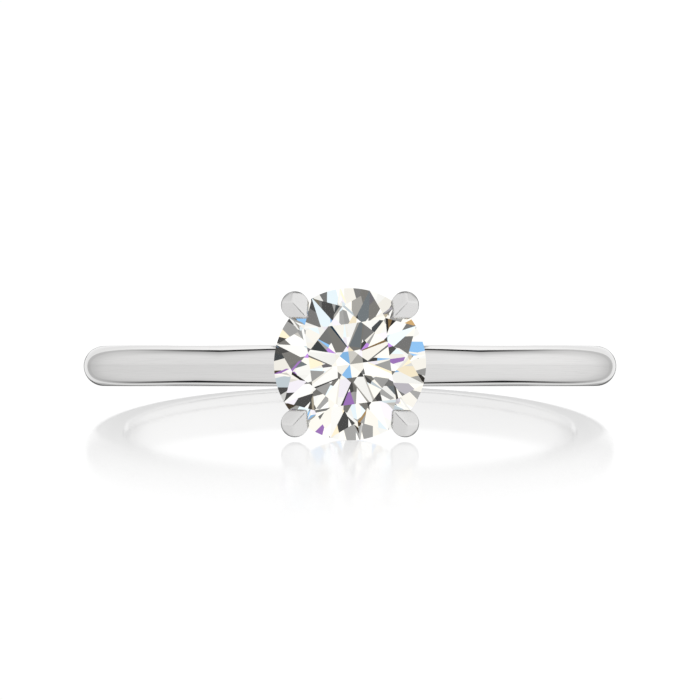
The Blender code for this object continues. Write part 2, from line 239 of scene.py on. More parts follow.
# The dark rim round the window: its width, its two soft edges, how far to the back it is still
# weak, where it has its full depth, and both depths
RIM_WIDTH, LOW_RIM_WIDTH = 0.14, 0.17
RIM_START = (-0.015, 0.02)
RIM_SOFTNESS = 0.06
WEAK_RIM, LOW_WEAK_RIM = 0.80, 0.97
FULL_RIM, LOW_FULL_RIM = 0.30, 0.68
RIM_DEPTH = (0.10, 0.98)

# The tent: its light beside the window and away from it, its dimmer lower half, the seam at the
# horizon, and how much brighter its right side is
BESIDE_BACK = (0.40, 0.72)
BESIDE_LIGHT = (0.54, 0.80)
LOW_BESIDE_LIGHT = 0.82
TENT_SPAN = (0.08, 0.42)
TENT_LIGHT = 0.95
TENT_HALVES = (-0.1, 0.2)
LOW_TENT_SHARE = 0.92
SEAM_WIDTH = 0.08
SEAM_SHARE = 0.965
RIGHT_GAIN = 0.06

# The shade behind the ring: its top, the end of its deeper part, its lower end, its sides and its
# start towards the back. Then the camera's lens, in the front of the tent.
SHADE_TOP = (0.08, 0.05)
DEEP_SHADE_END = (-0.16, -0.12)
SHADE_END = (-0.27, -0.22)
SHADE_SIDE = (0.19, 0.13)
SHADE_BACK = (0.86, 0.93)
SHADE_DEPTH = 0.85
LOW_SHADE_SHARE = 0.55
LENS_EDGE = cos(radians(11))
LENS_CORE = cos(radians(8))
LENS_DEPTH = 0.88

# The dark card over the head, which its upper claws mirror, and how far above the floor a ray
# starts that comes from the ring
CARD_HALF_WIDTH = 4.5 * MM
CARD_BACK = 14.0 * MM
CARD_FRONT = 1.0 * MM
CARD_HEIGHT = 10.0 * MM
CARD_GLOW = 0.04
FLOOR_MARGIN = 0.05 * MM

# What the stone's facets throw back: each brightness or tint of a cell, with the share of the cells
# at which it starts, and the softer patches over the cells
CELL_SCALE = 2.4
CELLS = (
    (0.00, (0.020, 0.017, 0.014)),
    (0.03, (0.07, 0.07, 0.07)),
    (0.07, (0.20, 0.20, 0.20)),
    (0.14, (0.40, 0.40, 0.40)),
    (0.24, (0.64, 0.64, 0.64)),
    (0.40, (0.86, 0.86, 0.85)),
    (0.50, (1.08, 1.08, 1.07)),
)
TINT_SCALE = 5.5
TINTS = (
    (0.00, (0.10, 0.07, 0.04)),
    (0.025, (0.66, 0.42, 0.18)),
    (0.05, (1.00, 0.88, 0.66)),
    (0.09, (0.30, 0.60, 1.00)),
    (0.125, (0.55, 0.28, 0.80)),
    (0.14, (0.82, 0.93, 1.00)),
    (0.22, (0.95, 0.91, 1.00)),
    (0.27, (1.00, 0.97, 0.91)),
    (0.50, (1.00, 0.995, 0.98)),
)
PATCH_SCALE = 14.0
PATCH_SPAN = (0.3, 0.7)
PATCH_LIGHT = (0.82, 1.06)

# How often light may turn before it is given up
LIGHT_BOUNCES = 24
MIRROR_BOUNCES = 20
STONE_BOUNCES = 20


# --- Node helpers -----------------------------------------------------------------------------


def new_tree(material):
    material.use_nodes = True
    tree = material.node_tree
    tree.nodes.clear()
    return tree


def add_node(tree, kind, settings=None, inputs=None):
    node = tree.nodes.new(kind)
    for name, value in (settings or {}).items():
        setattr(node, name, value)
    for name, value in (inputs or {}).items():
        connect(tree, node.inputs[name], value)
    return node


def connect(tree, socket, value):
    if isinstance(value, bpy.types.NodeSocket):
        tree.links.new(value, socket)
    else:
        socket.default_value = value


def calc(tree, operation, *values):
    node = tree.nodes.new("ShaderNodeMath")
    node.operation = operation
    for socket, value in zip(node.inputs, values):
        connect(tree, socket, value)
    return node.outputs[0]


def ramp(tree, value, low, high, at_low=0.0, at_high=1.0):
    """A smooth step of value from at_low to at_high."""
    node = add_node(tree, "ShaderNodeMapRange", {"interpolation_type": "SMOOTHSTEP"})
    for name, setting in (
        ("Value", value),
        ("From Min", low),
        ("From Max", high),
        ("To Min", at_low),
        ("To Max", at_high),
    ):
        connect(tree, node.inputs[name], setting)
    return node.outputs["Result"]


def blend_values(tree, share, first, second):
    """first where share is 0, second where it is 1."""
    node = add_node(tree, "ShaderNodeMix", {"data_type": "FLOAT"})
    connect(tree, node.inputs[0], share)
    connect(tree, node.inputs[2], first)
    connect(tree, node.inputs[3], second)
    return node.outputs[0]


def blend_colours(tree, share, first, second):
    node = add_node(tree, "ShaderNodeMix", {"data_type": "RGBA"})
    connect(tree, node.inputs[0], share)
    connect(tree, node.inputs[6], first)
    connect(tree, node.inputs[7], second)
    return node.outputs[2]


def mix_shaders(tree, share, first, second):
    mix = add_node(tree, "ShaderNodeMixShader", inputs={"Fac": share})
    tree.links.new(first.outputs[0], mix.inputs[1])
    tree.links.new(second.outputs[0], mix.inputs[2])
    return mix


# --- Materials --------------------------------------------------------------------------------


def ring_coordinates(tree):
    """(distance along the band, distance from the finger hole's axis, z), all in metres."""
    place = add_node(tree, "ShaderNodeNewGeometry").outputs["Position"]
    parts = add_node(tree, "ShaderNodeSeparateXYZ", inputs={"Vector": place}).outputs
    across = calc(tree, "SUBTRACT", parts["Y"], RING_CENTRE_Y)
    angle = calc(tree, "ARCTAN2", parts["X"], across)
    squares = calc(
        tree, "ADD", calc(tree, "POWER", parts["X"], 2.0), calc(tree, "POWER", across, 2.0)
    )
    radius = calc(tree, "SQRT", squares)
    along = calc(tree, "MULTIPLY", angle, SHANK_RADIUS)
    return add_node(
        tree, "ShaderNodeCombineXYZ", inputs={"X": along, "Y": radius, "Z": parts["Z"]}
    ).outputs[0]


def object_coordinates(tree):
    return add_node(tree, "ShaderNodeNewGeometry").outputs["Position"]


def noise(tree, place, stretch, size, detail):
    """Noise whose grain is size metres across, drawn out by stretch along each axis."""
    scale = tuple(1 / (size * factor) for factor in stretch)
    mapped = add_node(
        tree, "ShaderNodeMapping", {"vector_type": "POINT"}, {"Vector": place, "Scale": scale}
    ).outputs[0]
    node = add_node(tree, "ShaderNodeTexNoise", inputs={"Vector": mapped, "Scale": 1.0})
    node.inputs["Detail"].default_value = detail
    return node.outputs["Fac"]


def light_onward(tree):
    """The light that would reach the viewer from behind this point, through the stone."""
    incoming = add_node(tree, "ShaderNodeNewGeometry").outputs["Incoming"]
    onward = add_node(
        tree, "ShaderNodeVectorMath", {"operation": "SCALE"}, {"Vector": incoming, "Scale": -1.0}
    ).outputs[0]
    return add_node(tree, "ShaderNodeEmission", inputs={"Color": cell_light(tree, onward)})


def precious_metal(name, coordinates, finish):
    """A bright mirror finish broken by hairlines and by softer worn patches.

    Metal seen through the stone is shown as the light behind it.
    """
    material = bpy.data.materials.new(name)
    tree = new_tree(material)
    place = coordinates(tree)
    colour = finish["colour"]
    roughness = finish["roughness"]
    hairlines = noise(tree, place, finish["stretch"], finish["grain"], detail=6.0)
    patches = noise(tree, place, (1, 1, 1), PATCH_GRAINS * finish["grain"], detail=2.0)
    lines = ramp(tree, hairlines, *HAIRLINES)
    worn = ramp(tree, patches, *WORN_PATCHES)
    rough = calc(tree, "MULTIPLY_ADD", lines, roughness * HAIRLINE_ROUGHNESS, roughness)
    rough = calc(tree, "MULTIPLY_ADD", worn, roughness * WORN_ROUGHNESS, rough)
    darker = tuple(channel * HAIRLINE_TINT for channel in colour)
    tint = blend_colours(tree, lines, (*colour, 1.0), (*darker, 1.0))
    edge = add_node(tree, "ShaderNodeBevel", {"samples": 8}, {"Radius": finish["worn_edge"]})
    bump = add_node(
        tree,
        "ShaderNodeBump",
        inputs={
            "Strength": HAIRLINE_DEPTH,
            "Distance": finish["scratch_depth"],
            "Height": hairlines,
            "Normal": edge.outputs[0],
        },
    )
    edge_tint = finish["edge_tint"]
    shader = add_node(
        tree,
        "ShaderNodeBsdfPrincipled",
        inputs={
            "Base Color": tint,
            "Metallic": 1.0,
            "Roughness": rough,
            "Normal": bump.outputs[0],
            "Specular Tint": (edge_tint, edge_tint, edge_tint, 1.0),
        },
    )
    from_stone = add_node(tree, "ShaderNodeLightPath").outputs["Is Transmission Ray"]
    shader = mix_shaders(tree, from_stone, shader, light_onward(tree))
    output = add_node(tree, "ShaderNodeOutputMaterial")
    tree.links.new(shader.outputs[0], output.inputs["Surface"])
    return material


def diamond():
    """Colourless diamond. From inside, light turns back whole at a facet or leaves whole there."""
    material = bpy.data.materials.new("diamond")
    tree = new_tree(material)
    look = {"Color": DIAMOND_COLOUR, "Roughness": 0.0}
    through = add_node(tree, "ShaderNodeBsdfRefraction", inputs={**look, "IOR": DIAMOND_IOR})
    mirror = add_node(tree, "ShaderNodeBsdfGlossy", inputs=look)
    turned_back = add_node(tree, "ShaderNodeFresnel", inputs={"IOR": DIAMOND_IOR}).outputs[0]
    inside = add_node(tree, "ShaderNodeNewGeometry").outputs["Backfacing"]
    seen = add_node(tree, "ShaderNodeLightPath").outputs["Is Camera Ray"]
    filtered = calc(tree, "MULTIPLY_ADD", seen, -POLARISED, 1.0)
    glare = calc(tree, "MULTIPLY", turned_back, filtered)
    whole = calc(tree, "GREATER_THAN", turned_back, 0.5)
    surface = mix_shaders(tree, blend_values(tree, inside, glare, whole), through, mirror)
    output = add_node(tree, "ShaderNodeOutputMaterial")
    tree.links.new(surface.outputs[0], output.inputs["Surface"])
    return material


# --- Mesh helpers -----------------------------------------------------------------------------


def polar(distance, angle, height):
    return Vector((distance * cos(angle), distance * sin(angle), height))


def smooth_step(low, high, value):
    share = min(max((value - low) / (high - low), 0.0), 1.0)
    return share * share * (3 - 2 * share)


def make_mesh(name, shape, matrix=None, sharp=ROUND_SHADING):
    if matrix:
        bmesh.ops.transform(shape, matrix=matrix, verts=shape.verts)
    bmesh.ops.recalc_face_normals(shape, faces=shape.faces)
    mesh = bpy.data.meshes.new(name)
    shape.to_mesh(mesh)
    shape.free()
    mesh.shade_smooth()
    mesh.set_sharp_from_angle(angle=sharp)
    piece = bpy.data.objects.new(name, mesh)
    bpy.context.scene.collection.objects.link(piece)
    return piece


def cut(piece, cutters, sharp=ROUND_SHADING):
    """Cuts the piece for good, and takes out the slivers that the cuts leave."""
    for cutter in cutters:
        boolean = piece.modifiers.new("cut", "BOOLEAN")
        boolean.operation = "DIFFERENCE"
        boolean.solver = "EXACT"
        boolean.object = cutter
    evaluated = piece.evaluated_get(bpy.context.evaluated_depsgraph_get())
    mesh = bpy.data.meshes.new_from_object(evaluated)
    piece.modifiers.clear()
    shape = bmesh.new()
    shape.from_mesh(mesh)
    bmesh.ops.remove_doubles(shape, verts=shape.verts, dist=MERGE)
    bmesh.ops.dissolve_degenerate(shape, edges=shape.edges, dist=MERGE)
    shape.to_mesh(piece.data)
    shape.free()
    bpy.data.meshes.remove(mesh)
    piece.data.shade_smooth()
    piece.data.set_sharp_from_angle(angle=sharp)


def loft(sections, closed):
    shape = bmesh.new()
    rings = [[shape.verts.new(point) for point in section] for section in sections]
    following = rings[1:] + rings[:1] if closed else rings[1:]
    for ring, after in zip(rings, following):
        for i in range(len(ring)):
            j = (i + 1) % len(ring)
            shape.faces.new((ring[i], ring[j], after[j], after[i]))
    if not closed:
        shape.faces.new(reversed(rings[0]))
        shape.faces.new(rings[-1])
    return shape


def turned(profile, closed=False):
    """A body of revolution about z from (radius, height) points."""
    sections = []
    for step in range(TURNED_STEPS):
        angle = 2 * pi * step / TURNED_STEPS
        sections.append([polar(radius, angle, height) for radius, height in profile])
    shape = loft(sections, closed=True)
    if not closed:
        ends = [face for face in shape.faces if face.calc_area() == 0]
        bmesh.ops.delete(shape, geom=ends, context="FACES_ONLY")
    bmesh.ops.remove_doubles(shape, verts=shape.verts, dist=MERGE)
    return shape


def rounded(profile, radius):
    """The profile with its inner corners replaced by arcs of the given radius."""
    result = [profile[0]]
    for before, corner, after in zip(profile, profile[1:], profile[2:]):
        corner = Vector(corner)
        inward = (Vector(before) - corner).normalized()
        outward = (Vector(after) - corner).normalized()
        half = inward.angle(outward) / 2
        trim = radius / tan(half)
        centre = corner + (inward + outward).normalized() * radius / sin(half)
        start = corner + inward * trim - centre
        end = corner + outward * trim - centre
        turn = start.angle_signed(end)
        for step in range(EDGE_STEPS + 1):
            spun = start.copy()
            spun.rotate(Matrix.Rotation(-turn * step / EDGE_STEPS, 2))
            result.append(tuple(centre + spun))
    result.append(profile[-1])
    return result


def finish_piece(piece, slot, material, *nodes):
    piece.data.materials.clear()
    piece.data.materials.append(material)
    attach(piece, "root")
    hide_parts(*nodes)


# --- Shank ------------------------------------------------------------------------------------


def shank_half_width(angle):
    angle = abs(angle)
    width = HEAD_WIDTH + (WAIST_WIDTH - HEAD_WIDTH) * smooth_step(0, WAIST_ANGLE, angle)
    width += (SHANK_WIDTH - WAIST_WIDTH) * smooth_step(WAIST_ANGLE, FULL_WIDTH_ANGLE, angle)
    return width / 2


def shank_outline(half_width):
    dome_base = SHANK_RADIUS - DOME_HEIGHT
    outline = []
    for step in range(DOME_STEPS + 1):
        tilt = -pi / 2 + pi * step / DOME_STEPS
        outline.append((dome_base + DOME_HEIGHT * cos(tilt), half_width * sin(tilt)))
    for side in (1, -1):
        corner = []
        for step in range(COMFORT_STEPS + 1):
            tilt = pi / 2 * step / COMFORT_STEPS
            radius = HOLE_RADIUS + COMFORT_RISE * (1 - sin(tilt))
            corner.append((radius, side * (half_width - COMFORT_RUN * (1 - cos(tilt)))))
        outline += corner if side == 1 else corner[::-1]
    return outline


def build_shank(metal):
    sections = []
    for step in range(SHANK_STEPS):
        angle = 2 * pi * step / SHANK_STEPS - pi
        outline = shank_outline(shank_half_width(angle))
        sections.append([(radius * sin(angle), -radius * cos(angle), z) for radius, z in outline])
    ring_centre = Matrix.Translation((0, RING_CENTRE_Y, 0))
    shank = make_mesh("band", loft(sections, closed=True), ring_centre)
    bore = PEG_RADIUS + SOLDER + 2 * GAP
    top = SHANK_RADIUS + CUTTER_OVERRUN
    profile = [
        (0, top),
        (BASE_RADIUS + GAP, top),
        (BASE_RADIUS + GAP, SEAT_HEIGHT),
        (bore, SEAT_HEIGHT),
        (bore, HOLE_RADIUS - CUTTER_OVERRUN),
        (0, HOLE_RADIUS - CUTTER_OVERRUN),
    ]
    cutter = make_mesh("seat_cutter", turned(profile), HEAD)
    cut(shank, [cutter])
    bpy.data.objects.remove(cutter)
    finish_piece(shank, "shank_metal", metal, "shank")


# --- Stone ------------------------------------------------------------------------------------


def girdle_height(radius, angle, level, tip):
    """The height of the girdle's edge, on the half facet's plane, at an angle from a main facet."""
    half_step = pi / MAIN_FACETS
    start = polar(radius, 0, level)
    end = polar(radius, half_step, level)
    tip_distance, tip_height = tip
    normal = (end - start).cross(polar(tip_distance, half_step, tip_height) - start)
    return level - normal.dot(polar(radius, angle, level) - start) / normal.z


def brilliant(radius):
    """The convex body of a round brilliant, from the corners its facets share."""
    shape = bmesh.new()
    half_step = pi / MAIN_FACETS
    crown = tan(CROWN_ANGLE)
    pavilion = tan(PAVILION_ANGLE)
    corner = TABLE_FRACTION * radius
    table = GIRDLE_TOP + (radius - corner) * crown
    star = corner * cos(half_step) + STAR_FRACTION * (radius - corner * cos(half_step))
    star_height = GIRDLE_TOP + (radius - star * cos(half_step)) * crown
    lower = (1 - LOWER_HALF_FRACTION) * radius
    lower_height = GIRDLE_BOTTOM - (radius - lower * cos(half_step)) * pavilion
    edges = ((GIRDLE_TOP, (star, star_height)), (GIRDLE_BOTTOM, (lower, lower_height)))
    for k in range(MAIN_FACETS):
        main_angle = STONE_TURN + 2 * half_step * k
        shape.verts.new(polar(corner, main_angle, table))
        shape.verts.new(polar(star, main_angle + half_step, star_height))
        shape.verts.new(polar(lower, main_angle + half_step, lower_height))
        for step in range(1 - GIRDLE_STEPS_PER_FACET, GIRDLE_STEPS_PER_FACET + 1):
            angle = half_step * step / GIRDLE_STEPS_PER_FACET
            for level, tip in edges:
                height = girdle_height(radius, abs(angle), level, tip)
                shape.verts.new(polar(radius, main_angle + angle, height))
    shape.verts.new(polar(0, 0, GIRDLE_BOTTOM - radius * pavilion))
    bmesh.ops.convex_hull(shape, input=shape.verts)
    bmesh.ops.dissolve_limit(
        shape, angle_limit=SAME_FACET, verts=shape.verts, edges=shape.edges, delimit={"NORMAL"}
    )
    return shape


def build_stone(material):
    stone = make_mesh("brilliant", brilliant(STONE_RADIUS), HEAD, sharp=FACET_SHADING)
    finish_piece(stone, "diamond", material, "centre_stone")


# --- Head -------------------------------------------------------------------------------------


def build_base(metal):
    underside = SEAT_HEIGHT + GAP
    outline = [
        (0, BASE_TOP),
        (BASE_RADIUS, BASE_TOP),
        (BASE_RADIUS, underside),
        (PEG_RADIUS, underside),
        (PEG_RADIUS, PEG_END),
        (0, PEG_END),
    ]
    base = make_mesh("collar_and_peg", turned(rounded(outline, BASE_EDGE)), HEAD)
    finish_piece(base, "base_metal", metal, "head_base")


def build_peg_solder(metal):
    inner = PEG_RADIUS + GAP
    outer = inner + SOLDER
    top = SEAT_HEIGHT
    bottom = PEG_END + BASE_EDGE
    profile = [(inner, bottom), (outer, bottom), (outer, top), (inner, top)]
    seam = make_mesh("peg_seam", turned(profile, closed=True), HEAD)
    finish_piece(seam, "solder", metal, "solder_peg")


def leg_height(reach):
    return CLAW_FOOT_HEIGHT + (reach - CLAW_FOOT_REACH) * tan(CLAW_LEG_SLOPE)


def claw_path():
    """Points of a claw's centre line as (reach, height, slope, radius), from below its foot."""
    leg_end = CLAW_TOP_REACH - CLAW_LEG_BEND * (1 - sin(CLAW_LEG_SLOPE))
    foot = CLAW_FOOT_REACH - 2 * CLAW_FOOT_RADIUS
    places = [(foot, leg_height(foot), CLAW_LEG_SLOPE)]
    for step in range(CLAW_BEND_STEPS + 1):
        slope = CLAW_LEG_SLOPE + (pi / 2 - CLAW_LEG_SLOPE) * step / CLAW_BEND_STEPS
        reach = leg_end + CLAW_LEG_BEND * (sin(slope) - sin(CLAW_LEG_SLOPE))
        height = leg_height(leg_end) + CLAW_LEG_BEND * (cos(CLAW_LEG_SLOPE) - cos(slope))
        places.append((reach, height, slope))
    upright = places[-1][1]
    for step in range(1, CLAW_BEND_STEPS + 1):
        slope = pi / 2 + (CLAW_TIP_SLOPE - pi / 2) * step / CLAW_BEND_STEPS
        reach = CLAW_TOP_REACH - CLAW_TIP_BEND * (1 - sin(slope))
        places.append((reach, upright - CLAW_TIP_BEND * cos(slope), slope))
    reach, height, slope = places[-1]
    places.append((reach + CLAW_TIP_RUN * cos(slope), height + CLAW_TIP_RUN * sin(slope), slope))
    path = []
    for reach, height, slope in places:
        share = smooth_step(CLAW_FOOT_HEIGHT, upright, height)
        linear = min(max((height - CLAW_FOOT_HEIGHT) / (upright - CLAW_FOOT_HEIGHT), 0.0), 1.0)
        radius = CLAW_FOOT_RADIUS + (CLAW_TOP_RADIUS - CLAW_FOOT_RADIUS) * (share + linear) / 2
        path.append((reach, height, slope, radius))
    return path


def claw_blank():
    """The bent, tapered wire, in the plane of its centre line: x is reach and z is height."""
    sections = []
    for reach, height, slope, radius in claw_path():
        across = Vector((sin(slope), 0, -cos(slope)))
        centre = Vector((reach, 0, height))
        ring = []
        for side in range(CLAW_SIDES):
            around = 2 * pi * side / CLAW_SIDES
            ring.append(centre + radius * (cos(around) * across + sin(around) * Vector((0, 1, 0))))
        sections.append(ring)
    return loft(sections, closed=False)


def file_flat(shape, point, normal):
    """Takes away what lies on the normal's side of a plane and closes the cut."""
    everything = list(shape.verts) + list(shape.edges) + list(shape.faces)
    result = bmesh.ops.bisect_plane(
        shape, geom=everything, dist=MERGE, plane_co=point, plane_no=normal, clear_outer=True
    )
    edges = [item for item in result["geom_cut"] if isinstance(item, bmesh.types.BMEdge)]
    bmesh.ops.contextual_create(shape, geom=edges)


def round_ridge(shape, point, first, second, radius):
    """Rounds the edge through the point where two flats meet, with narrow flats between them."""
    ridge = first.cross(second).normalized()
    middle = (first + second).normalized()
    half = middle.angle(first)
    axis = point - middle * radius / cos(half)
    for step in range(1, RIDGE_STEPS):
        tilt = half * (2 * step / RIDGE_STEPS - 1)
        normal = Matrix.Rotation(tilt, 3, ridge) @ middle
        file_flat(shape, axis + normal * radius, normal)


def file_tip(shape):
    """Files two side faces that meet in a ridge, an outer face and a blunt nose."""
    crown_at_tip = GIRDLE_TOP + (STONE_RADIUS - TIP_REACH) * tan(CROWN_ANGLE)
    nose = Vector((TIP_REACH, 0, crown_at_tip + TIP_THICKNESS))
    ridge = Vector((cos(RIDGE_SLOPE), 0, sin(RIDGE_SLOPE)))
    sides = []
    for side in (1, -1):
        along = Vector((cos(TIP_PLAN_ANGLE), side * sin(TIP_PLAN_ANGLE), 0))
        along.z = -cos(TIP_PLAN_ANGLE) * tan(CROWN_ANGLE)
        sides.append((side * ridge.cross(along)).normalized())
        file_flat(shape, nose, sides[-1])
    split = nose + ridge * (TIP_SPLIT_REACH - TIP_REACH) / ridge.x
    outer = Vector((sin(OUTER_FACE_SLOPE), 0, cos(OUTER_FACE_SLOPE)))
    file_flat(shape, split, outer)
    file_flat(shape, nose, Vector((-cos(NOSE_SLOPE), 0, sin(NOSE_SLOPE))))
    round_ridge(shape, nose, *sides, RIDGE_ROUNDING)
    for side in sides:
        round_ridge(shape, split, side, outer, RIDGE_ROUNDING)
    across = Vector((-ridge.z, 0, ridge.x))
    round_ridge(shape, split, across, outer, RIDGE_ROUNDING)
    widest = CLAW_TOP_REACH + CLAW_TOP_RADIUS
    brow = Vector((widest, 0, split.z - (widest - split.x) * tan(OUTER_FACE_SLOPE)))
    round_ridge(shape, brow, outer, Vector((1, 0, 0)), BROW_ROUNDING)


def build_claw(name, angle, metal, cutters):
    shape = claw_blank()
    file_tip(shape)
    file_flat(shape, Vector((0, 0, CLAW_FOOT_HEIGHT)), Vector((0, 0, -1)))
    bmesh.ops.dissolve_degenerate(shape, dist=MERGE, edges=shape.edges)
    bmesh.ops.rotate(shape, verts=shape.verts, matrix=Matrix.Rotation(angle, 3, "Z"))
    claw = make_mesh("talon_claw_" + name, shape, HEAD)
    cut(claw, cutters)
    finish_piece(claw, "claw_metal", metal, "claw_" + name)


def rail_ring(name, centre, wire_radius):
    radius, height = centre
    sections = []
    for step in range(RAIL_STEPS):
        angle = 2 * pi * step / RAIL_STEPS
        ring = []
        for side in range(RAIL_SIDES):
            around = 2 * pi * side / RAIL_SIDES
            distance = radius + wire_radius * cos(around)
            ring.append(polar(distance, angle, height + wire_radius * sin(around)))
        sections.append(ring)
    return make_mesh(name, loft(sections, closed=True), HEAD)


def rail_place(node):
    """((radius, height) of the rail's centre, the wire's radius), from its box."""
    low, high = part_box(node)
    wire = (high.y - low.y) / 2
    return (high.x - wire, RING_CENTRE_Y - (low.y + high.y) / 2), wire


def claw_radius_at(reach):
    path = claw_path()
    for start, end in zip(path, path[1:]):
        if start[0] <= reach <= end[0]:
            return start[3] + (end[3] - start[3]) * (reach - start[0]) / (end[0] - start[0])
    return CLAW_TOP_RADIUS


def build_rail_solder(name, angle, reach, centre, wire, metal, stone_cutter, node):
    """A sleeve of solder round the rail, thinning to nothing past both sides of the claw's notch."""
    radius, height = centre
    half_angle = atan2(claw_radius_at(reach) + COLLAR_OVERHANG, radius)
    outer = wire + GAP / 2 + SOLDER
    inner = wire + GAP / 2
    stations = []
    for step in range(COLLAR_STEPS + 1):
        along = 2 * step / COLLAR_STEPS - 1
        stations.append((along, inner + (outer - inner) * (1 - along ** COLLAR_FULLNESS)))
    stations += [(1 - 2 * step / COLLAR_STEPS, inner) for step in range(1, COLLAR_STEPS)]
    sections = []
    for along, thick in stations:
        spot = angle + half_angle * along
        ring = []
        for side in range(RAIL_SIDES):
            around = 2 * pi * side / RAIL_SIDES
            ring.append(polar(radius + thick * cos(around), spot, height + thick * sin(around)))
        sections.append(ring)
    sleeve = make_mesh(name, loft(sections, closed=True), HEAD)
    cut(sleeve, [stone_cutter])
    finish_piece(sleeve, "solder", metal, node)


def build_foot_solder(name, angle, metal, node):
    """A low oval mound of solder between the base and a claw's slanting foot."""
    length = CLAW_FOOT_RADIUS / sin(CLAW_LEG_SLOPE) + GAP
    width = CLAW_FOOT_RADIUS + GAP
    bottom = BASE_TOP + GAP / 2
    sections = []
    for share, rise in FOOT_MOUND:
        height = bottom + SOLDER * rise
        ring = []
        for side in range(RAIL_SIDES):
            around = 2 * pi * side / RAIL_SIDES
            place = Vector((length * share * cos(around), width * share * sin(around), height))
            ring.append(place + Vector((CLAW_FOOT_REACH, 0, 0)))
        sections.append(ring)
    shape = loft(sections, closed=False)
    bmesh.ops.rotate(shape, verts=shape.verts, matrix=Matrix.Rotation(angle, 3, "Z"))
    pad = make_mesh(name, shape, HEAD)
    finish_piece(pad, "solder", metal, node)


def build_head(claw_metal, rail_metal, base_metal, solder):
    upper, wire = rail_place("upper_gallery_rail")
    lower, _ = rail_place("lower_gallery_rail")
    notch = wire + SOLDER + 2 * GAP
    cutters = [
        make_mesh("stone_cutter", brilliant(STONE_RADIUS + GAP), HEAD),
        rail_ring("upper_notch_cutter", upper, notch),
        rail_ring("lower_notch_cutter", lower, notch),
    ]
    build_base(base_metal)
    build_peg_solder(solder)
    for level, centre in (("upper", upper), ("lower", lower)):
        rail = rail_ring(level + "_rail", centre, wire)
        finish_piece(rail, "rail_metal", rail_metal, level + "_gallery_rail")
    for name, angle in CLAWS.items():
        build_claw(name, angle, claw_metal, cutters)
        build_foot_solder("foot_seam_" + name, angle, solder, "solder_foot_" + name)
        for level, reach, centre in (
            ("upper", UPPER_RAIL_REACH, upper),
            ("lower", LOWER_RAIL_REACH, lower),
        ):
            seam = level + "_seam_" + name
            node = "solder_" + level + "_" + name
            build_rail_solder(seam, angle, reach, centre, wire, solder, cutters[0], node)
    for cutter in cutters:
        bpy.data.objects.remove(cutter)


# --- Studio -----------------------------------------------------------------------------------


def resting_plane():
    """(y, z, slope) of the floor: it touches the head's lowest point and the back of the band."""
    points = []
    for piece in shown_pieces():
        points += [piece.matrix_world @ vertex.co for vertex in piece.data.vertices]
    lowest = min(points, key=lambda point: point.z)
    behind = [point for point in points if point.y > RING_CENTRE_Y]
    slope = min((point.z - lowest.z) / (point.y - lowest.y) for point in behind)
    return lowest.y, lowest.z, slope


def build_floor(plane):
    """A white sheet that only the camera sees: burnt out, with the ring's faint mirror image."""
    y, z, slope = plane
    shape = bmesh.new()
    bmesh.ops.create_grid(shape, x_segments=8, y_segments=8, size=FLOOR_REACH)
    tilt = Matrix.Translation((0, y, z)) @ Matrix.Rotation(atan2(slope, 1), 4, "X")
    floor = make_mesh("floor", shape, tilt)
    material = bpy.data.materials.new("white_acrylic")
    tree = new_tree(material)
    place = add_node(tree, "ShaderNodeNewGeometry").outputs["Position"]
    spot = add_node(tree, "ShaderNodeSeparateXYZ", inputs={"Vector": place}).outputs
    deep = ramp(tree, spot["Y"], FADE_FRONT, FADE_BACK)
    across = calc(tree, "ABSOLUTE", spot["X"])
    aside = ramp(tree, across, FADE_OUTSIDE, FADE_INSIDE, END_MIRROR, 1.0)
    faint = calc(tree, "MULTIPLY", calc(tree, "MULTIPLY", deep, aside), FLOOR_MIRROR)
    facing = add_node(tree, "ShaderNodeLayerWeight", inputs={"Blend": 0.5}).outputs["Facing"]
    faint = calc(tree, "MULTIPLY", faint, ramp(tree, facing, STEEP_VIEW, FLAT_VIEW))
    blur = calc(tree, "MULTIPLY_ADD", deep, FLOOR_BLUR_BACK - FLOOR_BLUR_FRONT, FLOOR_BLUR_FRONT)
    glow = add_node(tree, "ShaderNodeEmission", inputs={"Strength": FLOOR_GLOW})
    gloss = add_node(
        tree, "ShaderNodeBsdfGlossy", inputs={"Color": (1, 1, 1, 1), "Roughness": blur}
    )
    clear = add_node(tree, "ShaderNodeBsdfTransparent")
    sheet = mix_shaders(tree, faint, glow, gloss)
    seen = add_node(tree, "ShaderNodeLightPath").outputs["Is Camera Ray"]
    sheet = mix_shaders(tree, seen, clear, sheet)
    output = add_node(tree, "ShaderNodeOutputMaterial")
    tree.links.new(sheet.outputs[0], output.inputs["Surface"])
    floor.data.materials.append(material)


def starts_on_ring(tree, plane):
    """1 for a ray that comes from the ring, 0 for one that comes from the floor."""
    y, z, slope = plane
    place = add_node(tree, "ShaderNodeNewGeometry").outputs
    start = add_node(tree, "ShaderNodeVectorMath", {"operation": "MULTIPLY_ADD"})
    connect(tree, start.inputs[0], place["Incoming"])
    connect(tree, start.inputs[1], add_node(tree, "ShaderNodeLightPath").outputs["Ray Length"])
    connect(tree, start.inputs[2], place["Position"])
    spot = add_node(tree, "ShaderNodeSeparateXYZ", inputs={"Vector": start.outputs[0]}).outputs
    level = calc(tree, "MULTIPLY_ADD", spot["Y"], -slope, spot["Z"])
    return calc(tree, "GREATER_THAN", level, z - slope * y + FLOOR_MARGIN)


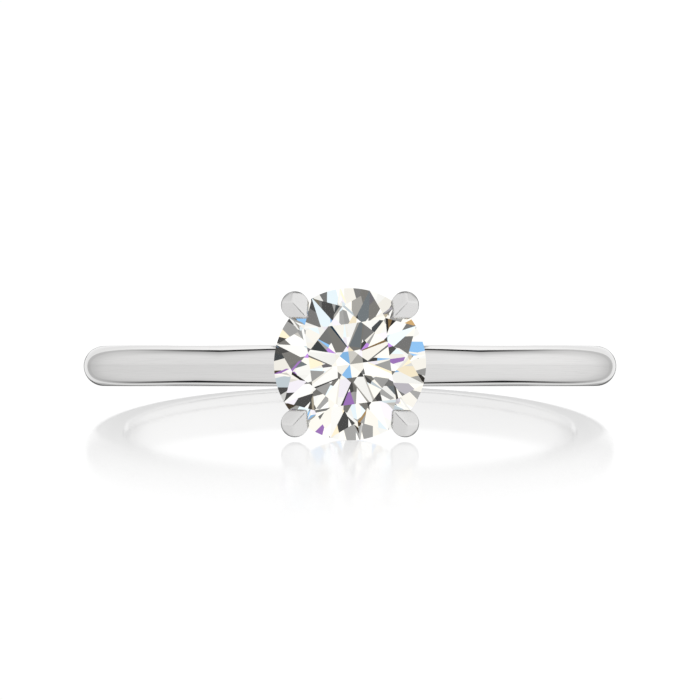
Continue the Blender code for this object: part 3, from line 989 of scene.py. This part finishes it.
def build_card(plane):
    """A dark card above the head and behind its face. Only the ring's metal mirrors it."""
    face = RING_CENTRE_Y - TABLE_HEIGHT
    shape = bmesh.new()
    corners = []
    for side, depth in ((-1, CARD_FRONT), (1, CARD_FRONT), (1, CARD_BACK), (-1, CARD_BACK)):
        corners.append(shape.verts.new((side * CARD_HALF_WIDTH, face + depth, CARD_HEIGHT)))
    shape.faces.new(corners)
    card = make_mesh("dark_card", shape)
    material = bpy.data.materials.new("black_card")
    tree = new_tree(material)
    dark = add_node(tree, "ShaderNodeEmission", inputs={"Strength": CARD_GLOW})
    clear = add_node(tree, "ShaderNodeBsdfTransparent")
    sheet = mix_shaders(tree, starts_on_ring(tree, plane), clear, dark)
    output = add_node(tree, "ShaderNodeOutputMaterial")
    tree.links.new(sheet.outputs[0], output.inputs["Surface"])
    card.data.materials.append(material)
    card.visible_camera = False
    card.visible_transmission = False
    card.visible_diffuse = False
    card.visible_shadow = False


def outside_window(tree, parts, below):
    """How far a direction is outside the window's edge; below 0 inside it."""
    across = calc(tree, "ABSOLUTE", parts["X"])
    half_width = blend_values(tree, below, WINDOW_SIDE, LOW_WINDOW_SIDE)
    edge = blend_values(tree, below, WINDOW_FRONT, LOW_WINDOW_FRONT)
    side = calc(tree, "SUBTRACT", across, half_width)
    front = calc(tree, "MULTIPLY", calc(tree, "SUBTRACT", edge, parts["Y"]), FRONT_SHARE)
    return calc(tree, "MAXIMUM", side, front)


def window_and_tent(tree, parts, below, outside):
    """The window and the paler tent round it, without the rim."""
    back = parts["Y"]
    window = ramp(tree, back, *WINDOW_BACK, *WINDOW_LIGHT)
    window = calc(tree, "MULTIPLY", window, blend_values(tree, below, 1.0, LOW_WINDOW_SHARE))
    beside = ramp(tree, back, *BESIDE_BACK, *BESIDE_LIGHT)
    beside = blend_values(tree, below, beside, LOW_BESIDE_LIGHT)
    tent = ramp(tree, outside, *TENT_SPAN, beside, TENT_LIGHT)
    lower_half = ramp(tree, parts["Z"], *TENT_HALVES, LOW_TENT_SHARE, 1.0)
    tent = calc(tree, "MULTIPLY", tent, lower_half)
    seam = ramp(tree, calc(tree, "ABSOLUTE", parts["Z"]), 0.0, SEAM_WIDTH, SEAM_SHARE, 1.0)
    tent = calc(tree, "MULTIPLY", tent, seam)
    return blend_values(tree, ramp(tree, outside, *WINDOW_EDGE), tent, window)


def rim_darkness(tree, parts, below, outside):
    """The dark rim round the window, weaker towards the back."""
    start = ramp(tree, outside, *RIM_START)
    width = blend_values(tree, below, RIM_WIDTH, LOW_RIM_WIDTH)
    end = ramp(tree, outside, width, calc(tree, "SUBTRACT", width, RIM_SOFTNESS))
    weak = blend_values(tree, below, WEAK_RIM, LOW_WEAK_RIM)
    full = blend_values(tree, below, FULL_RIM, LOW_FULL_RIM)
    depth = ramp(tree, parts["Y"], weak, full, *RIM_DEPTH)
    return calc(tree, "MULTIPLY", calc(tree, "MULTIPLY", start, end), depth)


def shade_darkness(tree, parts):
    """The shade behind the ring, at the horizon and below it, and fainter further down."""
    across = calc(tree, "ABSOLUTE", parts["X"])
    lower = calc(tree, "MULTIPLY", ramp(tree, parts["Z"], *SHADE_END), LOW_SHADE_SHARE)
    shade = calc(tree, "MAXIMUM", lower, ramp(tree, parts["Z"], *DEEP_SHADE_END))
    shade = calc(tree, "MULTIPLY", shade, ramp(tree, parts["Z"], *SHADE_TOP))
    shade = calc(tree, "MULTIPLY", shade, ramp(tree, across, *SHADE_SIDE))
    shade = calc(tree, "MULTIPLY", shade, ramp(tree, parts["Y"], *SHADE_BACK))
    return calc(tree, "MULTIPLY", shade, SHADE_DEPTH)


def lens_darkness(tree, parts):
    """The camera's lens, straight in front."""
    return ramp(tree, parts["Y"], -LENS_EDGE, -LENS_CORE, 0.0, LENS_DEPTH)


def tent_light(tree, parts):
    """What the metal reflects: the window behind the ring, with its dark rim, in a paler tent."""
    below = ramp(tree, parts["Z"], *LOW_SPAN)
    outside = outside_window(tree, parts, below)
    light = window_and_tent(tree, parts, below, outside)
    for darkness in (
        rim_darkness(tree, parts, below, outside),
        lens_darkness(tree, parts),
        shade_darkness(tree, parts),
    ):
        light = calc(tree, "MULTIPLY", light, calc(tree, "SUBTRACT", 1.0, darkness))
    sideways = calc(tree, "MULTIPLY_ADD", parts["X"], RIGHT_GAIN, 1.0)
    return calc(tree, "MULTIPLY", light, sideways)


def cells_of(tree, way, scale, palette):
    """Cells of direction, each with a colour picked from the palette by its share."""
    cells = add_node(tree, "ShaderNodeTexVoronoi", inputs={"Vector": way, "Scale": scale})
    pick = add_node(tree, "ShaderNodeSeparateColor", inputs={"Color": cells.outputs["Color"]})
    colours = add_node(tree, "ShaderNodeValToRGB", inputs={"Fac": pick.outputs[0]})
    strip = colours.color_ramp
    strip.interpolation = "CONSTANT"
    strip.elements.remove(strip.elements[-1])
    strip.elements[0].color = (*palette[0][1], 1.0)
    for share, colour in palette[1:]:
        strip.elements.new(share).color = (*colour, 1.0)
    return colours.outputs["Color"]


def cell_light(tree, way):
    """What the stone's facets throw back: a bright tent broken by dark and tinted cells."""
    tinted = add_node(tree, "ShaderNodeMix", {"data_type": "RGBA", "blend_type": "MULTIPLY"})
    connect(tree, tinted.inputs[0], 1.0)
    connect(tree, tinted.inputs[6], cells_of(tree, way, CELL_SCALE, CELLS))
    connect(tree, tinted.inputs[7], cells_of(tree, way, TINT_SCALE, TINTS))
    patches = add_node(tree, "ShaderNodeTexNoise", inputs={"Vector": way, "Scale": PATCH_SCALE})
    uneven = ramp(tree, patches.outputs["Fac"], *PATCH_SPAN, *PATCH_LIGHT)
    return add_node(
        tree,
        "ShaderNodeVectorMath",
        {"operation": "SCALE"},
        {"Vector": tinted.outputs[2], "Scale": uneven},
    ).outputs[0]


def build_studio():
    world = bpy.data.worlds.new("studio")
    bpy.context.scene.world = world
    world.use_nodes = True
    tree = world.node_tree
    tree.nodes.clear()
    way = add_node(tree, "ShaderNodeTexCoord").outputs["Generated"]
    parts = add_node(tree, "ShaderNodeSeparateXYZ", inputs={"Vector": way}).outputs
    path = add_node(tree, "ShaderNodeLightPath").outputs
    light = blend_values(tree, path["Is Camera Ray"], tent_light(tree, parts), 1.0)
    grey = add_node(
        tree, "ShaderNodeCombineColor", inputs={"Red": light, "Green": light, "Blue": light}
    ).outputs[0]
    colour = blend_colours(tree, path["Is Transmission Ray"], grey, cell_light(tree, way))
    background = add_node(tree, "ShaderNodeBackground", inputs={"Color": colour})
    output = add_node(tree, "ShaderNodeOutputWorld")
    tree.links.new(background.outputs[0], output.inputs["Surface"])


def build_camera():
    data = bpy.data.cameras.new("camera")
    camera = bpy.data.objects.new("camera", data)
    bpy.context.scene.collection.objects.link(camera)
    data.lens = data.sensor_width * CAMERA_DISTANCE / FRAME_WIDTH
    data.shift_y = MID_PLANE_DROP + CAMERA_DROP / FRAME_WIDTH
    data.clip_start = CAMERA_DISTANCE / 10
    data.clip_end = CAMERA_REACH
    camera.location = (0, RING_CENTRE_Y - CAMERA_DISTANCE, -CAMERA_DROP)
    camera.rotation_euler = (pi / 2, 0, 0)
    bpy.context.scene.camera = camera


def set_rendering():
    scene = bpy.context.scene
    scene.view_settings.view_transform = "Standard"
    scene.cycles.max_bounces = LIGHT_BOUNCES
    scene.cycles.glossy_bounces = MIRROR_BOUNCES
    scene.cycles.transmission_bounces = STONE_BOUNCES


band_metal = precious_metal("band_polish", ring_coordinates, BAND_POLISH)
claw_metal = precious_metal("claw_satin", object_coordinates, CLAW_SATIN)
wire_metal = precious_metal("wire_polish", object_coordinates, WIRE_POLISH)
solder_metal = precious_metal("solder_flow", object_coordinates, SOLDER_FLOW)
build_shank(band_metal)
build_stone(diamond())
build_head(claw_metal, wire_metal, wire_metal, solder_metal)
floor_plane = resting_plane()
build_floor(floor_plane)
build_card(floor_plane)
build_studio()
build_camera()
set_rendering()
